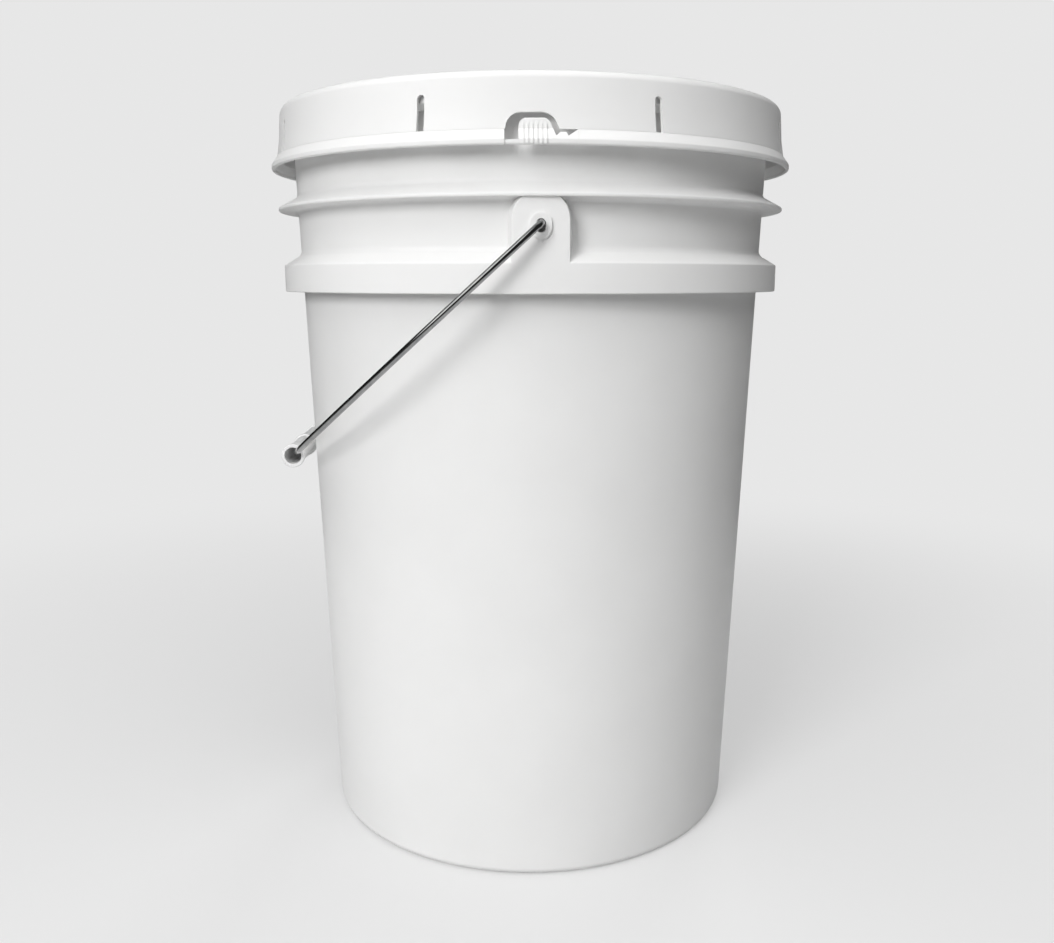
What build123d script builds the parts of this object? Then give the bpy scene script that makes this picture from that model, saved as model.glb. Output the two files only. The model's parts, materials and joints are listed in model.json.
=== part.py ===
"""Lidded plastic pail with a tear-strip lid, a wire bail and a loose grip. Millimetres, +Z up."""
import os
from math import acos, asin, cos, degrees, radians, sin, sqrt, tan

from build123d import *

# Rounding of moulded edges
FINE = 0.6
SOFT = 1.0
CORNER = 2.0

# Pail shell. The floor centre is the origin, the ears lie on -Y and +Y, the bail hangs on -X.
PAIL_H = 424.8        # floor plane to top of rim
BASE_R = 127.2        # outer wall radius, carried down to the floor plane
TAPER = 2.06          # wall slope, degrees
WALL = 2.3
FLOOR = 2.8
BASE_RECESS = 3.5     # floor plane to underside of floor
BASE_CORNER = 5.0
FLOOR_CORNER = 6.0
FOOT_W = 6.0          # flat of the foot ring
GATE_R = 6.0          # round hollow left by the moulding gate
GATE_DEEP = 0.8

# Rim bead
RIM_OUT = 3.8         # beyond the wall
RIM_H = 8.5
RIM_SLOPE = 3.0

# Stacking fin, a solid wedge round the neck
FIN_DROP = 52.3       # top of rim to fin tip
FIN_OUT = 11.4
FIN_RISE = 7.0        # top face, tip to wall
FIN_UNDER = 1.5       # lower face, tip to wall
FIN_EDGE = 1.6
FIN_ROOT = 3.0        # fillet into the wall above

# Skirted band, open below
BAND_DROP = 84.3      # top of rim to the band's upper edge
BAND_OUT = 10.4       # beyond the wall
BAND_H = 15.1
BAND_T = 2.2
SHELF_RISE = 6.2      # sloping shelf, edge to wall
SHELF_ROOT = 4.0      # fillet into the wall
BAND_RIBS = 24
BAND_RIB_T = 1.8
BAND_RIB_LIFT = 4.0   # ribs end above the band's lower edge

# Bail ears, flush with the band and hollow behind
EAR_W = 28.2          # front face
EAR_RISE = 31.4       # band's upper edge to ear top, sunk into the fin
EAR_ROUND = 13.5
EAR_CREST = 3.6       # rounded top cut flat this much below its full height
EAR_DRAFT = 9.0       # side slope, degrees
EAR_PLATE = 2.8
EAR_SIDE = 2.2
EAR_RELIEF = 0.3      # pocket sunk into the wall behind it
PIVOT_DROP = 12.9     # ear top to bail axis
HOLE_GAP = 0.6        # round the wire
HOLE_DROP = 2.1       # slotted downward
BOSS_RIM = 3.0        # width of the raised rim round the hole
BOSS_OUT = 1.0

# Lid
LID_T = 2.4
LID_CORNER = 4.5
SKIRT_T = 1.9
SKIRT_GAP = 0.8       # skirt to rim, under the top
SKIRT_H = 27.6        # lid top to lower edge of skirt
STEP_DROP = 19.0      # lid top to the change of draft
UPPER_DRAFT = 1.2     # growth of radius down to the change of draft
LOWER_DRAFT = 1.4
SNAP_GAP = 0.3        # snap bead to rim
SNAP_DROP = 18.6
SNAP_H = 5.0
PLUG_T = 2.0
PLUG_GAP = 0.4        # plug to inside of wall
PANEL_DROP = 18.0     # lid top to panel
PANEL_T = 2.2
STACK_GAP = 1.5       # stacking rib inside the foot ring of the pail above
STACK_W = 2.0
STACK_H = 2.6
LID_RIBS = 24
LID_RIB_T = 1.6
LID_RIB_W = 6.0
LID_RIB_DROP = 5.0    # ribs end below the lid top
SLITS = 8
SLIT_W = 3.8
SLIT_H = 17.0

# Gasket in the lid channel
GASKET_H = 2.6
GASKET_GAP = 0.2      # gasket to rim
GASKET_SIDE = 0.6     # gasket to channel walls

# Tear strip, a flared hoop below the skirt
STRIP_H = 7.5
STRIP_T = 2.2
LIP_OUT = 3.4         # lip beyond the skirt
LIP_EDGE = 2.6
TEAR_GROOVE = 0.5

# Pull tab at the start of the strip
TAB_W = 14.3          # at its top
TAB_SHIFT = -3.65     # tab middle from the ear's middle
TAB_RISE = 12.6       # lip edge to tab top
TAB_LEAN = 0.6        # upright plate, foot to top
TAB_SLANT = 3.6       # right side, top to bottom
TAB_ROUND = 4.0
TAB_RIBS = 6
TAB_RIB_W = 0.6
TAB_RIB_PITCH = 2.2
TAB_RIB_SHIFT = 0.6   # middle of the ribs from the tab middle
TAB_RIB_OUT = 0.5
TAB_RIB_END = 2.7     # ribs end below the tab top
CUT_GAP = 0.5         # start of the strip
SEAM_GAP = 0.3        # living hinge of the tab
WINDOW_LEFT = 6.2     # window gaps beside and above the tab
WINDOW_RIGHT = 2.9
WINDOW_TOP = 2.7
WINDOW_ROUND = 7.5
BRIDGE_H = 2.3        # strip left of the tab
TEAR_RUN = 10.6       # notch right of the tab
TEAR_DEEP = 3.4
TOOTH_ROOT = 1.7      # tooth in the notch: near side, tip and far side from the tab's foot
TOOTH_TIP = 4.8
TOOTH_END = 5.7
TOOTH_DROP = 1.6      # skirt to tooth

# Bail
WIRE_D = 3.4
BAIL_REACH = 197.8    # bail axis to the middle of the bow
BAIL_BEND = 4.0
BAIL_CLEAR = 4.4      # bow to lip, swung over the lid
HOOK_GAP = 0.8        # hook to the back of the ear plate
HOOK_BEND = 2.6
HOOK_L = 7.0

# Grip
GRIP_L = 86.0
GRIP_D = 12.2
GRIP_BORE = 10.0
COLLAR_D = 14.0
COLLAR_W = 2.6
COLLAR_RAMP = 0.8
GRIP_REST = 1.9       # grip to wall, bail down

BIG = 2 * PAIL_H      # longer than anything cut
SLOPE = tan(radians(TAPER))


def wall_r(z):
    """Outer radius of the pail wall."""
    return BASE_R + SLOPE * z


def inner_r(z):
    """Inner radius of the pail wall."""
    return wall_r(z) - WALL


def outline(corners):
    """Face bounded by straight sides through (u, v, fillet radius) corners."""
    points = [Vector(u, v) for u, v, _ in corners]
    bends = []
    for i, (_, _, radius) in enumerate(corners):
        here = points[i]
        if not radius:
            bends.append((here, None, here))
            continue
        back = (points[i - 1] - here).normalized()
        ahead = (points[(i + 1) % len(points)] - here).normalized()
        half = radians(back.get_angle(ahead)) / 2
        heart = here + (back + ahead).normalized() * (radius / sin(half))
        mid = heart + (here - heart).normalized() * radius
        reach = radius / tan(half)
        bends.append((here + back * reach, mid, here + ahead * reach))
    edges = []
    for i, (start, mid, end) in enumerate(bends):
        if mid:
            edges.append(ThreePointArc(start, mid, end))
        edges.append(Line(end, bends[(i + 1) % len(bends)][0]))
    return make_face(edges)


def ring(corners):
    """Solid of revolution of an (r, z, fillet radius) section."""
    return revolve(Plane.XZ * outline(corners), Axis.Z)


def front(corners):
    """Prism of an (x, z, fillet radius) outline, from the axis out through the front."""
    return extrude(Plane.XZ * outline(corners), amount=BIG)


def block(x0, x1, z0, z1):
    """Rectangular prism, from the axis out through the front."""
    return front([(x0, z0, 0), (x1, z0, 0), (x1, z1, 0), (x0, z1, 0)])


def spread(shape, count, first):
    """Copies of a shape round the axis, the first one turned by an angle in degrees."""
    return [Rot(0, 0, first + i * 360 / count) * shape for i in range(count)]


# Heights and radii that follow from the sizes above
rim_r = wall_r(PAIL_H) + RIM_OUT
rim_low = PAIL_H - RIM_H
fin_z = PAIL_H - FIN_DROP
fin_r = wall_r(fin_z) + FIN_OUT
band_z = PAIL_H - BAND_DROP
band_low = band_z - BAND_H
band_r = wall_r(band_z) + BAND_OUT
shelf_top = band_z + SHELF_RISE
shelf_low = shelf_top - BAND_T
hem_r = band_r - BAND_T
hem_top = band_z - BAND_T
foot_r = BASE_R - BASE_CORNER - FOOT_W
floor_z = BASE_RECESS + FLOOR
ear_top = band_z + EAR_RISE
pivot_z = ear_top - PIVOT_DROP
plate_r = band_r - EAR_PLATE
boss_y = band_r + BOSS_OUT
hole_r = WIRE_D / 2 + HOLE_GAP
lid_z = PAIL_H + GASKET_GAP + GASKET_H + LID_T
channel_z = lid_z - LID_T
skirt_low = lid_z - SKIRT_H
step_z = lid_z - STEP_DROP
snap_z = lid_z - SNAP_DROP
skirt_r = rim_r + SKIRT_GAP + SKIRT_T
step_r = skirt_r + UPPER_DRAFT
hem_lid_r = step_r + LOWER_DRAFT
panel_z = lid_z - PANEL_DROP
panel_low = panel_z - PANEL_T
lip_r = hem_lid_r + LIP_OUT
lip_low = skirt_low - STRIP_H
tab_top = lip_low + TAB_RISE
tab_left = TAB_SHIFT - TAB_W / 2
tab_right = TAB_SHIFT + TAB_W / 2
tab_foot = tab_right + TAB_SLANT
cut_x = tab_left - WINDOW_LEFT
seam_x = tab_foot + TEAR_RUN


def plug_r(z):
    """Outer radius of the lid's plug wall."""
    return inner_r(z) - PLUG_GAP


def skirt_in(z):
    """Inner radius of the lid's skirt."""
    if z > step_z:
        return skirt_r + UPPER_DRAFT * (lid_z - z) / STEP_DROP - SKIRT_T
    return step_r + LOWER_DRAFT * (step_z - z) / (step_z - skirt_low) - SKIRT_T


# Pail body: one revolved section for floor, wall, band, fin and rim
shell = ring([
    (0, BASE_RECESS, 0),
    (foot_r - BASE_RECESS, BASE_RECESS, CORNER),
    (foot_r, 0, FINE),
    (BASE_R, 0, BASE_CORNER),
    (wall_r(shelf_low), shelf_low, FINE),
    (hem_r, hem_top, FINE),
    (hem_r, band_low, FINE),
    (band_r, band_low, SOFT),
    (band_r, band_z, SOFT),
    (wall_r(shelf_top), shelf_top, SHELF_ROOT),
    (wall_r(fin_z) - SLOPE * FIN_UNDER, fin_z - FIN_EDGE / 2 - FIN_UNDER, 0),
    (fin_r, fin_z - FIN_EDGE / 2, FIN_EDGE * 0.4),
    (fin_r, fin_z + FIN_EDGE / 2, FIN_EDGE * 0.4),
    (wall_r(fin_z + FIN_RISE), fin_z + FIN_RISE, FIN_ROOT),
    (wall_r(rim_low - RIM_SLOPE), rim_low - RIM_SLOPE, SOFT),
    (rim_r, rim_low, SOFT),
    (rim_r, PAIL_H, SOFT),
    (inner_r(PAIL_H), PAIL_H, SOFT),
    (inner_r(floor_z), floor_z, FLOOR_CORNER),
    (0, floor_z, 0),
])
gate = Pos(0, 0, BASE_RECESS) * Cylinder(GATE_R, 2 * GATE_DEEP)

# Ribs that tie the band's skirt to the wall
web = ring([
    (wall_r(band_low) - WALL / 2, band_low + BAND_RIB_LIFT, 0),
    (hem_r + BAND_T / 2, band_low + BAND_RIB_LIFT, 0),
    (hem_r + BAND_T / 2, hem_top + BAND_T / 2, 0),
    (wall_r(shelf_low) - WALL / 2, shelf_low + BAND_T / 2, 0),
])
web_cut = block(-BAND_RIB_T / 2, BAND_RIB_T / 2, band_low, shelf_top)
band_ribs = spread(web & web_cut, BAND_RIBS, 180 / BAND_RIBS)

# Ear: drafted block out to the band's face, emptied from below, with a slotted boss
ear_depth = band_r - inner_r(band_low)
ear_flare = ear_depth * tan(radians(EAR_DRAFT))
ear_face = outline([
    (-EAR_W / 2, band_low + BAND_H / 2, 0),
    (EAR_W / 2, band_low + BAND_H / 2, 0),
    (EAR_W / 2, ear_top + EAR_CREST, EAR_ROUND),
    (-EAR_W / 2, ear_top + EAR_CREST, EAR_ROUND),
])
ear_prism = extrude(Plane.XZ.offset(band_r) * ear_face, amount=-ear_depth, taper=-EAR_DRAFT)
ear_shell = ring([
    (wall_r(band_low) - WALL / 2, band_low, 0),
    (band_r, band_low, 0),
    (band_r, ear_top, 0),
    (wall_r(ear_top) - WALL / 2, ear_top, 0),
])
pocket_w = EAR_W - 2 * EAR_SIDE
pocket_top = ear_top - EAR_SIDE
pocket_low = band_low - BAND_H
pocket_prism = front([
    (-pocket_w / 2, pocket_low, 0),
    (pocket_w / 2, pocket_low, 0),
    (pocket_w / 2, pocket_top, EAR_ROUND - EAR_SIDE),
    (-pocket_w / 2, pocket_top, EAR_ROUND - EAR_SIDE),
])
pocket_shell = ring([
    (wall_r(pocket_low) - EAR_RELIEF, pocket_low, 0),
    (plate_r, pocket_low, 0),
    (plate_r, pocket_top, 0),
    (wall_r(pocket_top) - EAR_RELIEF, pocket_top, 0),
])
slot_mid = pivot_z - HOLE_DROP / 2
upright = Plane.XZ.offset(plate_r + EAR_PLATE / 2)
boss_face = Pos(0, slot_mid) * Rot(0, 0, 90) * SlotCenterToCenter(HOLE_DROP, 2 * (hole_r + BOSS_RIM))
hole_face = Pos(0, slot_mid) * Rot(0, 0, 90) * SlotCenterToCenter(HOLE_DROP, 2 * hole_r)
boss = extrude(upright * boss_face, amount=boss_y - plate_r - EAR_PLATE / 2)
hole = extrude(Plane.XZ.offset(wall_r(pivot_z) + WALL) * hole_face, amount=BIG)

ears = [prism & ear_shell for prism in spread(ear_prism, 2, 0)]
pockets = [prism & pocket_shell for prism in spread(pocket_prism, 2, 0)]
pail_body = shell + ears + band_ribs - pockets
pail_body = pail_body + spread(boss, 2, 0) - spread(hole, 2, 0) - gate

# Lid: channel over the rim, plug inside the wall, recessed panel with a stacking rib
stack_r = foot_r - BASE_RECESS - STACK_GAP
lid_shell = ring([
    (0, panel_low, 0),
    (plug_r(panel_low), panel_low, CORNER),
    (plug_r(channel_z), channel_z, FINE),
    (skirt_in(channel_z), channel_z, FINE),
    (skirt_in(snap_z + SNAP_H / 2), snap_z + SNAP_H / 2, 0),
    (rim_r + SNAP_GAP, snap_z, FINE),
    (skirt_in(snap_z - SNAP_H / 2), snap_z - SNAP_H / 2, 0),
    (skirt_in(skirt_low), skirt_low, 0),
    (hem_lid_r, skirt_low, 0),
    (step_r, step_z, 0),
    (skirt_r, lid_z, LID_CORNER),
    (plug_r(lid_z) - PLUG_T, lid_z, CORNER),
    (plug_r(panel_z) - PLUG_T, panel_z, CORNER),
    (stack_r, panel_z, 0),
    (stack_r, panel_z + STACK_H, FINE),
    (stack_r - STACK_W, panel_z + STACK_H, FINE),
    (stack_r - STACK_W, panel_z, 0),
    (0, panel_z, 0),
])
lid_rib_r = plug_r(panel_z) - PLUG_T
lid_rib = extrude(
    Plane.YZ * outline([
        (-lid_rib_r - PLUG_T / 2, panel_z - PANEL_T / 2, 0),
        (-lid_rib_r + LID_RIB_W, panel_z - PANEL_T / 2, 0),
        (-lid_rib_r + LID_RIB_W, panel_z + STACK_H, SOFT),
        (-lid_rib_r - PLUG_T / 2, lid_z - LID_RIB_DROP, 0),
    ]),
    amount=LID_RIB_T / 2,
    both=True,
)
slit_top = skirt_low + SLIT_H
slit = extrude(
    Plane.XZ.offset(rim_r - SKIRT_GAP) * outline([
        (-SLIT_W / 2, skirt_low - STRIP_H, 0),
        (SLIT_W / 2, skirt_low - STRIP_H, 0),
        (SLIT_W / 2, slit_top, SLIT_W * 0.49),
        (-SLIT_W / 2, slit_top, SLIT_W * 0.49),
    ]),
    amount=BIG,
)
tab_steep = TAB_SLANT / (tab_top - skirt_low + TEAR_DEEP)
window_top = tab_top + WINDOW_TOP
window_foot = tab_right + WINDOW_RIGHT + tab_steep * (tab_top - lip_low)
window = front([
    (cut_x, lip_low, 0),
    (window_foot, lip_low, 0),
    (tab_right + WINDOW_RIGHT - tab_steep * WINDOW_TOP, window_top, WINDOW_ROUND),
    (cut_x, window_top, WINDOW_ROUND),
])
window_keep = Cylinder(rim_r - SKIRT_GAP, BIG)
lid = lid_shell + spread(lid_rib, LID_RIBS, 0) - spread(slit, SLITS, 180 / SLITS) - (window - window_keep)

# Gasket, flat on the channel's ceiling and rounded toward the rim
gasket_in = plug_r(channel_z) + GASKET_SIDE
gasket_out = skirt_in(channel_z) - GASKET_SIDE
gasket = ring([
    (gasket_in, channel_z - GASKET_H, GASKET_H * 0.3),
    (gasket_out, channel_z - GASKET_H, GASKET_H * 0.3),
    (gasket_out, channel_z, 0),
    (gasket_in, channel_z, 0),
])

# Tear strip and pull tab, cut from the same flared hoop
hoop = ring([
    (skirt_in(skirt_low), skirt_low, 0),
    (hem_lid_r - TEAR_GROOVE, skirt_low, 0),
    (lip_r, lip_low + LIP_EDGE, SOFT),
    (lip_r, lip_low, SOFT),
    (lip_r - STRIP_T, lip_low, FINE),
    (lip_r - STRIP_T, lip_low + LIP_EDGE * 0.6, FINE),
    (skirt_in(skirt_low), skirt_low - STRIP_T * 0.7, FINE),
])
start = block(cut_x - CUT_GAP, seam_x, lip_low - STRIP_H, skirt_low + STRIP_H)
tear_strip = hoop - start


def tab_ring(out):
    """Section of the strip with the tab's upright plate on it, its face moved outward."""
    flare_r = hem_lid_r - TEAR_GROOVE + out
    plate_in = skirt_in(skirt_low)
    return ring([
        (plate_in - TAB_LEAN, tab_top, FINE),
        (flare_r - TAB_LEAN, tab_top, FINE),
        (flare_r, skirt_low, 0),
        (lip_r + out, lip_low + LIP_EDGE, SOFT),
        (lip_r + out, lip_low, SOFT),
        (lip_r - STRIP_T, lip_low, FINE),
        (lip_r - STRIP_T, lip_low + LIP_EDGE * 0.6, FINE),
        (plate_in, skirt_low - STRIP_T * 0.7, FINE),
    ])


tab_plate = tab_ring(0) & front([
    (cut_x, lip_low, 0),
    (seam_x - SEAM_GAP, lip_low, 0),
    (seam_x - SEAM_GAP, skirt_low - SEAM_GAP, 0),
    (tab_foot + TOOTH_END, skirt_low - TEAR_DEEP, 0),
    (tab_foot + TOOTH_TIP, skirt_low - TOOTH_DROP, 0),
    (tab_foot + TOOTH_ROOT, skirt_low - TOOTH_DROP, 0),
    (tab_foot, skirt_low - TEAR_DEEP, 0),
    (tab_right, tab_top, TAB_ROUND),
    (tab_left, tab_top, TAB_ROUND),
    (tab_left, lip_low + BRIDGE_H, 0),
    (cut_x, lip_low + BRIDGE_H, 0),
])
rib_low = lip_low + LIP_EDGE / 4
rib_mid = TAB_SHIFT + TAB_RIB_SHIFT
rib_x = [rib_mid + (i - (TAB_RIBS - 1) / 2) * TAB_RIB_PITCH for i in range(TAB_RIBS)]
rib_cuts = [block(x - TAB_RIB_W / 2, x + TAB_RIB_W / 2, rib_low, tab_top - TAB_RIB_END) for x in rib_x]
rib_band = tab_ring(TAB_RIB_OUT) & block(tab_left, tab_right, rib_low, tab_top)
tear_tab = tab_plate + [rib_band & cut for cut in rib_cuts]

# Bail: one planar wire, hook, stub through the ear, bend, bow, and the same back.
# Its plane has u outward from the bail axis and v along the axis.
bow_r = lip_r + BAIL_CLEAR + WIRE_D / 2
bow_u = BAIL_REACH - bow_r
tilt = asin((bow_u - BAIL_BEND) / (bow_r - BAIL_BEND))
bend_v = (bow_r - BAIL_BEND) * cos(tilt)
bend_mid = radians(135) + tilt / 2
hook_v = plate_r - HOOK_GAP - WIRE_D / 2
hook_heart = hook_v + HOOK_BEND
bow_end = (bow_u - bow_r * sin(tilt), bow_r * cos(tilt))


def leg(side):
    """Edges of one end of the bail, hook first."""
    return [
        Line((-HOOK_L, side * hook_v), (-HOOK_BEND, side * hook_v)),
        ThreePointArc(
            (-HOOK_BEND, side * hook_v),
            (HOOK_BEND * (sqrt(0.5) - 1), side * (hook_heart - HOOK_BEND * sqrt(0.5))),
            (0, side * hook_heart),
        ),
        Line((0, side * hook_heart), (0, side * bend_v)),
        ThreePointArc(
            (0, side * bend_v),
            (BAIL_BEND * (1 + cos(bend_mid)), side * (bend_v + BAIL_BEND * sin(bend_mid))),
            (bow_end[0], side * bow_end[1]),
        ),
    ]


bow = ThreePointArc(bow_end, (BAIL_REACH, 0), (bow_end[0], -bow_end[1]))
grip_sag = bow_r - sqrt(bow_r**2 - (GRIP_L / 2) ** 2)
grip_u = BAIL_REACH - grip_sag / 2
grip_off = wall_r(pivot_z) * cos(radians(TAPER)) + COLLAR_D / 2 + GRIP_REST
hang = radians(TAPER) + acos(grip_off / grip_u)
bail_plane = Plane(
    origin=(0, 0, pivot_z),
    x_dir=(-cos(hang), 0, -sin(hang)),
    z_dir=(sin(hang), 0, -cos(hang)),
)
bail_path = bail_plane * Wire(leg(1) + [bow] + leg(-1)[::-1])
bail_wire = sweep(Plane(origin=bail_path @ 0, z_dir=bail_path % 0) * Circle(WIRE_D / 2), bail_path)
bail_wire = fillet(bail_wire.faces().filter_by(GeomType.PLANE).edges(), WIRE_D * 0.15)

# Grip: a tube with a collar at each end and one in the middle
half = GRIP_L / 2
bore_r = GRIP_BORE / 2
tube_r = GRIP_D / 2
collar_r = COLLAR_D / 2
grip_tube = ring([
    (bore_r, -half, FINE / 2),
    (collar_r, -half, FINE),
    (collar_r, -half + COLLAR_W, FINE),
    (tube_r, -half + COLLAR_W + COLLAR_RAMP, FINE),
    (tube_r, -COLLAR_W / 2 - COLLAR_RAMP, FINE),
    (collar_r, -COLLAR_W / 2, FINE),
    (collar_r, COLLAR_W / 2, FINE),
    (tube_r, COLLAR_W / 2 + COLLAR_RAMP, FINE),
    (tube_r, half - COLLAR_W - COLLAR_RAMP, FINE),
    (collar_r, half - COLLAR_W, FINE),
    (collar_r, half, FINE),
    (bore_r, half, FINE / 2),
])
grip_x = -grip_u * cos(hang)
grip_z = pivot_z - grip_u * sin(hang)
handle_grip = Pos(grip_x, 0, grip_z) * Rot(90, 0, 0) * grip_tube

os.makedirs("parts", exist_ok=True)
export_step(pail_body, "parts/pail_body.step")
export_step(lid, "parts/lid.step")
export_step(gasket, "parts/gasket.step")
export_step(tear_strip, "parts/tear_strip.step")
export_step(tear_tab, "parts/tear_tab.step")
export_step(bail_wire, "parts/bail_wire.step")
export_step(handle_grip, "parts/handle_grip.step")

print("bail axis height", pivot_z, "rest angle below level", degrees(hang))
print("grip axis", grip_x, grip_z)
print("tab hinge", seam_x, -sqrt(lip_r**2 - seam_x**2))
print("inside of wall at floor", inner_r(floor_z), "floor", floor_z, "panel", panel_low, panel_z, "top", lid_z)
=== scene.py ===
"""Looks of a white plastic pail: turned shell and lid, tear strip with its pull tab, wire bail, grip."""
import json
from math import asin, ceil, cos, degrees, hypot, pi, radians, sin, tan

import bmesh
import bpy
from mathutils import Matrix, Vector


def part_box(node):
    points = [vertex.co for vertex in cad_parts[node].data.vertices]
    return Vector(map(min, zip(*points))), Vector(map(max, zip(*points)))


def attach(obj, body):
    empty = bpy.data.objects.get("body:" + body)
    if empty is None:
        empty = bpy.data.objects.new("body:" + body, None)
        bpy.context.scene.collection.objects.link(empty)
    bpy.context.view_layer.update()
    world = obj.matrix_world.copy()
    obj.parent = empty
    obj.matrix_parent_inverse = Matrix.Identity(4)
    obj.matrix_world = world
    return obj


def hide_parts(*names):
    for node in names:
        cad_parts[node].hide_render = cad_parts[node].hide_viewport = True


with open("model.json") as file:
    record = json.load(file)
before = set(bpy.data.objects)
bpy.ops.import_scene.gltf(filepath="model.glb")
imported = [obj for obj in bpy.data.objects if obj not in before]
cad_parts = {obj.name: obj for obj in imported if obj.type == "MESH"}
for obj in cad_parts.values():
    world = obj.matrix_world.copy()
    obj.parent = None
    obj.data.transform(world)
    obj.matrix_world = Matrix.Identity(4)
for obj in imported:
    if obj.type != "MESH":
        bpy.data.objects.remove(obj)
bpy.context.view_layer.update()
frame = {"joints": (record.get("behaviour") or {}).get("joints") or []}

MM = 0.001
TURN_STEPS = 192      # facets round the pail's axis
ARC_STEP = 15         # degrees between the points of a rounded corner
MERGE = 1e-6          # metres, points nearer than this are one
CRUMB = 1e-5          # metres, edges shorter than this are left by cuts
SMOOTH = 32           # degrees, bends up to this are shaded smooth
CREASE = 30           # and bends beyond this are edges
SHARP = 60            # or square ones

# Rounding of moulded edges, in millimetres like every size below
FINE = 0.6
SOFT = 1.0
CORNER = 2.0
BREAK = 0.25          # edges left by a blade of the mould
FULL_ROUND = 0.999    # share of a half width that rounds it right off

# Pail shell
BASE_R = 127.2        # outer wall, carried down to the floor plane
TAPER = 2.06          # wall slope, degrees
WALL = 2.3
FLOOR = 2.8
BASE_RECESS = 3.5
BASE_CORNER = 5.0
FLOOR_CORNER = 6.0
FOOT_W = 6.0
GATE_R = 6.0
GATE_DEEP = 0.8

# Rim bead, stacking fin and skirted band
RIM_OUT = 3.8
RIM_H = 8.5
RIM_SLOPE = 3.0
FIN_DROP = 52.3
FIN_OUT = 11.4
FIN_RISE = 7.0
FIN_UNDER = 0.5
FIN_EDGE = 1.6
FIN_TIP = 0.64        # rounding of the fin's edge
FIN_ROOT = 3.0
BAND_DROP = 84.3
BAND_OUT = 10.4
BAND_H = 15.1
BAND_T = 2.2
SHELF_RISE = 6.2
SHELF_ROOT = 4.0
BAND_RIBS = 24
BAND_RIB_T = 1.8
BAND_RIB_LIFT = 4.0

# Bail ears
EAR_W = 28.2
EAR_RISE = 31.4
EAR_ROUND = 13.5
EAR_CREST = 2.6
EAR_DRAFT = 9.0
EAR_PLATE = 2.8
EAR_SIDE = 2.2
EAR_RELIEF = 0.3
EAR_EDGE = 1.5        # rounding of the ear's face
EAR_ROOT = 1.0        # foot of the ear, left square inside the band
FLUSH = 0.02          # ear face over band face
HOLE_GAP = 0.6
HOLE_DROP = 2.1
BOSS_RIM = 3.0
BOSS_OUT = 1.4
BOSS_EDGE = 0.25

# Lid
LID_CORNER = 4.5
SKIRT_T = 1.9
STEP_DROP = 19.0
UPPER_DRAFT = 1.2
LOWER_DRAFT = 1.4
RIM_GAP = 0.8         # window and slits stop this far inside the rim's radius
SNAP_GAP = 0.3
SNAP_DROP = 18.6
SNAP_H = 5.0
SNAP_BREAK = 12.0     # gap in the snap bead behind a slit
PLUG_T = 2.0
PLUG_GAP = 0.4
PANEL_DROP = 18.0
PANEL_T = 2.2
STACK_GAP = 1.5
STACK_W = 2.0
STACK_H = 2.6
LID_RIBS = 24
LID_RIB_T = 1.6
LID_RIB_W = 6.0
LID_RIB_DROP = 5.0
SLITS = 8
SLIT_W = 3.9
SLIT_H = 17.0
SLIT_ROUND = 0.98     # share of its half width
GASKET_SIDE = 0.6
GASKET_ROUND = 0.3    # share of its height

# Tear strip and pull tab
STRIP_T = 2.2
STRIP_NECK = 1.54     # strip under the tear groove
LIP_OUT = 3.4
LIP_EDGE = 2.6
LIP_INNER = 1.56      # lip's inner face
TEAR_GROOVE = 0.12
TAB_W = 14.3
TAB_SHIFT = -3.65
TAB_LEAN = 0.6
TAB_SLANT = 3.6
TAB_ROUND = 4.0
TAB_RIBS = 6
TAB_RIB_W = 0.5
TAB_RIB_PITCH = 2.2
TAB_RIB_SHIFT = 0.6
TAB_RIB_OUT = 0.7
TAB_RIB_END = 2.7
CUT_GAP = 0.5
SEAM_GAP = 0.3
SEAM_LINE = 0.04      # what shows of the tab's living hinge
WINDOW_RIGHT = 2.9
WINDOW_TOP = 2.7
WINDOW_ROUND = 7.5
BRIDGE_H = 2.3
TEAR_DEEP = 3.4
TOOTH_ROOT = 1.7
TOOTH_TIP = 4.8
TOOTH_END = 5.7
TOOTH_DROP = 1.6

# Bail and grip
WIRE_D = 3.4
WIRE_SIDES = 28
WIRE_END = 0.51       # rounding of its cut ends
BEND_STEPS = 12
BOW_STEPS = 160
BAIL_REACH = 197.8
BAIL_BEND = 4.0
BAIL_CLEAR = 4.4
HOOK_GAP = 0.8
HOOK_BEND = 2.6
HOOK_L = 7.0
GRIP_D = 12.2
GRIP_BORE = 10.0
COLLAR_D = 14.0
COLLAR_W = 2.6
COLLAR_RAMP = 0.8
GRIP_STEPS = 64


def span(node):
    """Lowest and highest corner of a node, in millimetres."""
    low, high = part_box(node)
    return low / MM, high / MM


# Heights, radii and axes that the frame gives
joints = {joint["name"]: joint for joint in frame["joints"]}
pail_h = span("pail_body")[1].z
skirt_low, lid_z = (corner.z for corner in span("lid"))
gasket_low, channel_z = (corner.z for corner in span("gasket"))
lip_low = span("tear_strip")[0].z
lip_r = span("tear_strip")[1].x
cut_x = span("tear_tab")[0].x
seam_x = span("tear_tab")[1].x + SEAM_GAP
tab_top = span("tear_tab")[1].z
grip_half = span("handle_grip")[1].y
pivot_z = joints["bail_swing"]["pos_m"][2] / MM
grip_spot = Vector(joints["grip_spin"]["pos_m"])

# Heights and radii that follow
slope = tan(radians(TAPER))


def wall_r(z):
    """Outer radius of the pail wall."""
    return BASE_R + slope * z


def inner_r(z):
    """Inner radius of the pail wall."""
    return wall_r(z) - WALL


def plug_r(z):
    """Outer radius of the lid's plug wall."""
    return inner_r(z) - PLUG_GAP


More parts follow.
